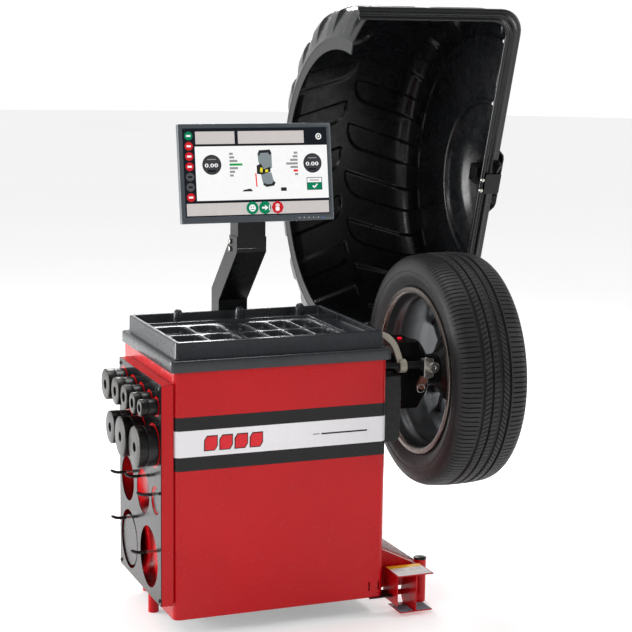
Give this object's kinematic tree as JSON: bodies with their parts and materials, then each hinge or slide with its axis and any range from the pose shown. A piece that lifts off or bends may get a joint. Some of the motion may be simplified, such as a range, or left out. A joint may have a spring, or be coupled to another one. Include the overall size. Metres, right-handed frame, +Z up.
{
  "type": "wheel balancer",
  "caption": "Workshop wheel balancer: red cabinet with weight tray, tilting display, measuring arm, clamped wheel and a swinging tyre-shaped guard.",
  "frame": {"origin": "centre of the machine's box, on the floor", "axes": "+Z up, +X towards the wheel, +Y towards the back"},
  "size_m": [1.43, 1.2428, 1.9189],
  "materials": {
    "red_paint": "gloss powder coat",
    "black_plastic": "moulded, fine grain",
    "black_paint": "satin",
    "hammertone": "hammered grey",
    "rubber": "matte",
    "cast_rim": "dark satin paint",
    "steel": "zinc plated",
    "dark_steel": "oiled black",
    "cast_grey": "cast, painted grey-beige",
    "copper": "wound copper and brown resin",
    "circuit": "printed circuit",
    "screen": "lit display",
    "lamp": "lit lens"
  },
  "bodies": {
    "cabinet": {"cabinet_shell": "red_paint", "back_panel": "red_paint", "floor_pan": "black_paint", "left_leg": "red_paint", "rear_leg_left": "red_paint", "rear_leg_right": "red_paint", "outrigger_gusset": "red_paint", "outrigger_brace": "hammertone", "outrigger_post": "red_paint", "post_cap": "black_plastic", "weight_tray": "black_plastic", "accessory_frame": "red_paint", "accessory_board": "black_paint", "centring_collet_1": "dark_steel", "centring_collet_2": "dark_steel", "centring_collet_3": "dark_steel", "centring_collet_4": "dark_steel", "centring_collet_5": "dark_steel", "centring_collet_6": "dark_steel", "centring_collet_7": "dark_steel", "centring_collet_8": "dark_steel", "spindle_housing": "black_paint", "laser_lamp": "lamp", "rear_bearing": "steel", "front_bearing": "steel", "motor_stator": "copper", "side_cover": "black_plastic", "rod_bush": "black_plastic", "hood_bracket": "red_paint", "display_arm": "black_paint", "pedal_guard": "red_paint", "guard_strap": "black_paint", "pedal_pin": "steel", "control_box": "black_plastic", "power_inlet": "black_plastic"},
    "spindle": {"spindle_shaft": "steel", "motor_rotor": "dark_steel", "encoder_disc": "circuit", "backing_flange": "dark_steel", "centring_cone": "dark_steel", "wheel_rim": "cast_rim", "wheel_spokes": "cast_rim", "tyre": "rubber"},
    "wheel_clamp": {"pressure_cup": "black_plastic", "quick_nut": "black_plastic"},
    "hood": {"hood_shell": "black_plastic", "hood_clamp_plate": "black_paint", "hood_pivot_shaft": "steel", "hood_arm": "black_paint"},
    "arm_slide": {"measuring_rod": "black_paint"},
    "arm_swing": {"arm_handle": "cast_grey", "gauge_head": "steel", "gauge_block": "copper"},
    "knob": {"gauge_knob": "steel"},
    "display": {"display_upper_arm": "black_paint", "tilt_bolt": "steel", "display_casing": "black_plastic", "display_screen": "screen", "display_mount": "black_paint"},
    "pedal": {"brake_pedal": "red_paint"}
  },
  "joints": [
    {"name": "spindle_spin", "type": "hinge", "parent": "cabinet", "child": "spindle", "pos_m": [0.291, -0.24249, 0.738], "axis": [1, 0, 0], "continuous": true},
    {"name": "clamp_slide", "type": "slide", "parent": "spindle", "child": "wheel_clamp", "axis": [1, 0, 0], "range_m": [0, 0.09]},
    {"name": "hood_swing", "type": "hinge", "parent": "cabinet", "child": "hood", "pos_m": [-0.109, 0.23051, 0.845], "axis": [1, 0, 0], "range_deg": [0, 75]},
    {"name": "arm_pull", "type": "slide", "parent": "cabinet", "child": "arm_slide", "axis": [1, 0, 0], "range_m": [0, 0.11], "stiffness_N_per_m": 40, "springref_m": -0.05},
    {"name": "arm_swing", "type": "hinge", "parent": "arm_slide", "child": "arm_swing", "pos_m": [0.191, -0.39749, 0.79], "axis": [1, 0, 0], "range_deg": [-30, 20]},
    {"name": "knob_turn", "type": "hinge", "parent": "arm_swing", "child": "knob", "pos_m": [0.257, -0.41949, 0.784], "axis": [0, 1, 0], "continuous": true},
    {"name": "display_tilt", "type": "hinge", "parent": "cabinet", "child": "display", "pos_m": [-0.239, -0.04149, 1.156], "axis": [1, 0, 0], "range_deg": [-8, 8]},
    {"name": "pedal_press", "type": "hinge", "parent": "cabinet", "child": "pedal", "pos_m": [0.156, -0.40549, 0.05], "axis": [1, 0, 0], "range_deg": [0, 6.5], "stiffness_Nm_per_rad": 20, "springref_deg": -5.73}
  ]
}
